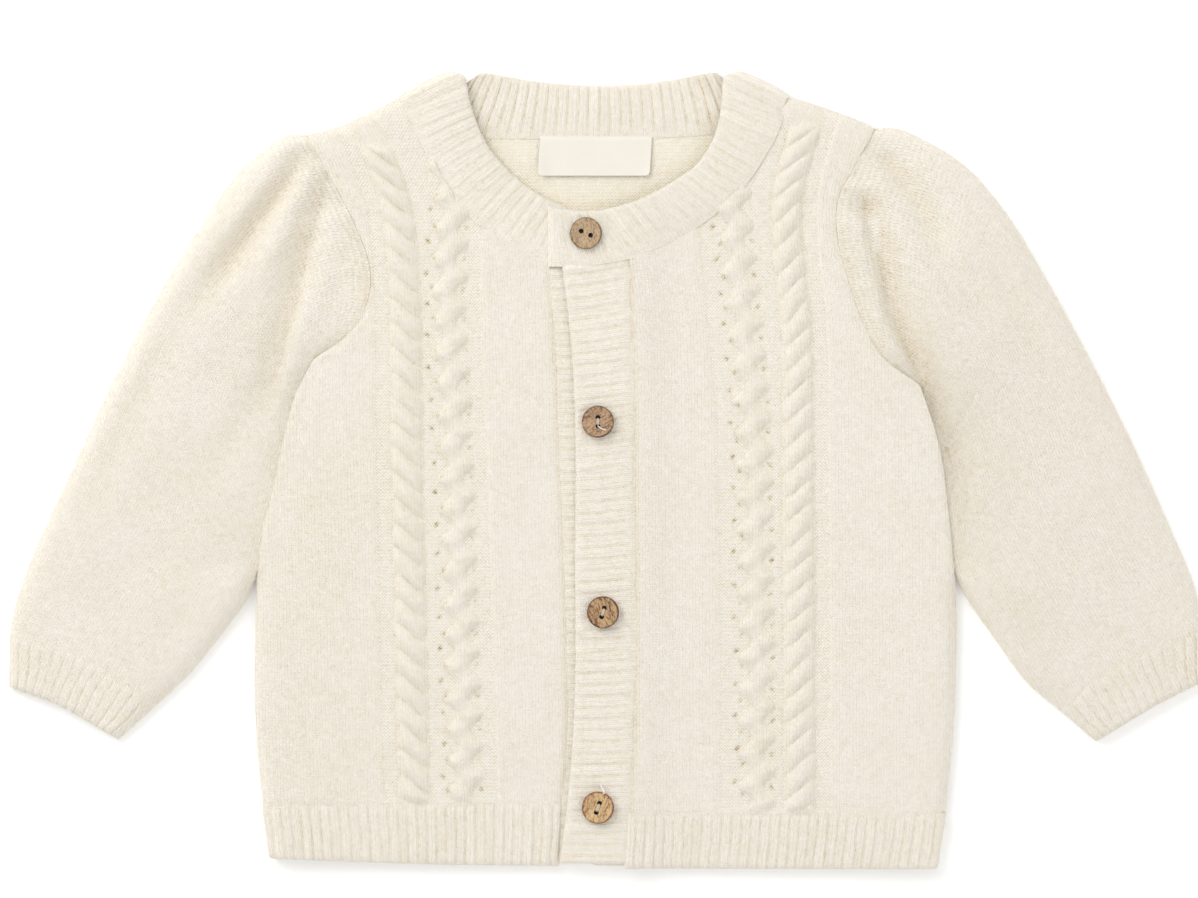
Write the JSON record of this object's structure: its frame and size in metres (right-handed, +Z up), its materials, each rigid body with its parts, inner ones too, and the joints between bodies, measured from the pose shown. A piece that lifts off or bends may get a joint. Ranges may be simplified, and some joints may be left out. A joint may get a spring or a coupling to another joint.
{
  "type": "baby cardigan",
  "caption": "Cream knitted baby cardigan with ribbed round neck, cabled fronts, gathered sleeve heads, ribbed cuffs and hem, and shell buttons, laid flat.",
  "frame": {"origin": "middle of the laid-out cardigan's outline, on the surface it lies on", "axes": "+Z up from the surface, +Y toward the collar, +X toward the wearer's left sleeve"},
  "size_m": [0.4494, 0.3008, 0.0112],
  "materials": {
    "knit": "soft brushed cream wool knit with a fine fuzz",
    "satin": "cream satin ribbon with a soft sheen",
    "shell": "brown coconut shell, fibrous grain, darker rim, satin polish"
  },
  "bodies": {
    "root": {"back": "knit", "hem_back": "knit", "front_right": "knit", "hem_right": "knit", "sleeve_right": "knit", "cuff_right": "knit", "front_left": "knit", "hem_left": "knit", "sleeve_left": "knit", "cuff_left": "knit", "neckband": "knit", "under_band": "knit", "button_band": "knit", "label": "satin", "button_1": "shell", "button_2": "shell", "button_3": "shell", "button_4": "shell"}
  },
  "joints": []
}
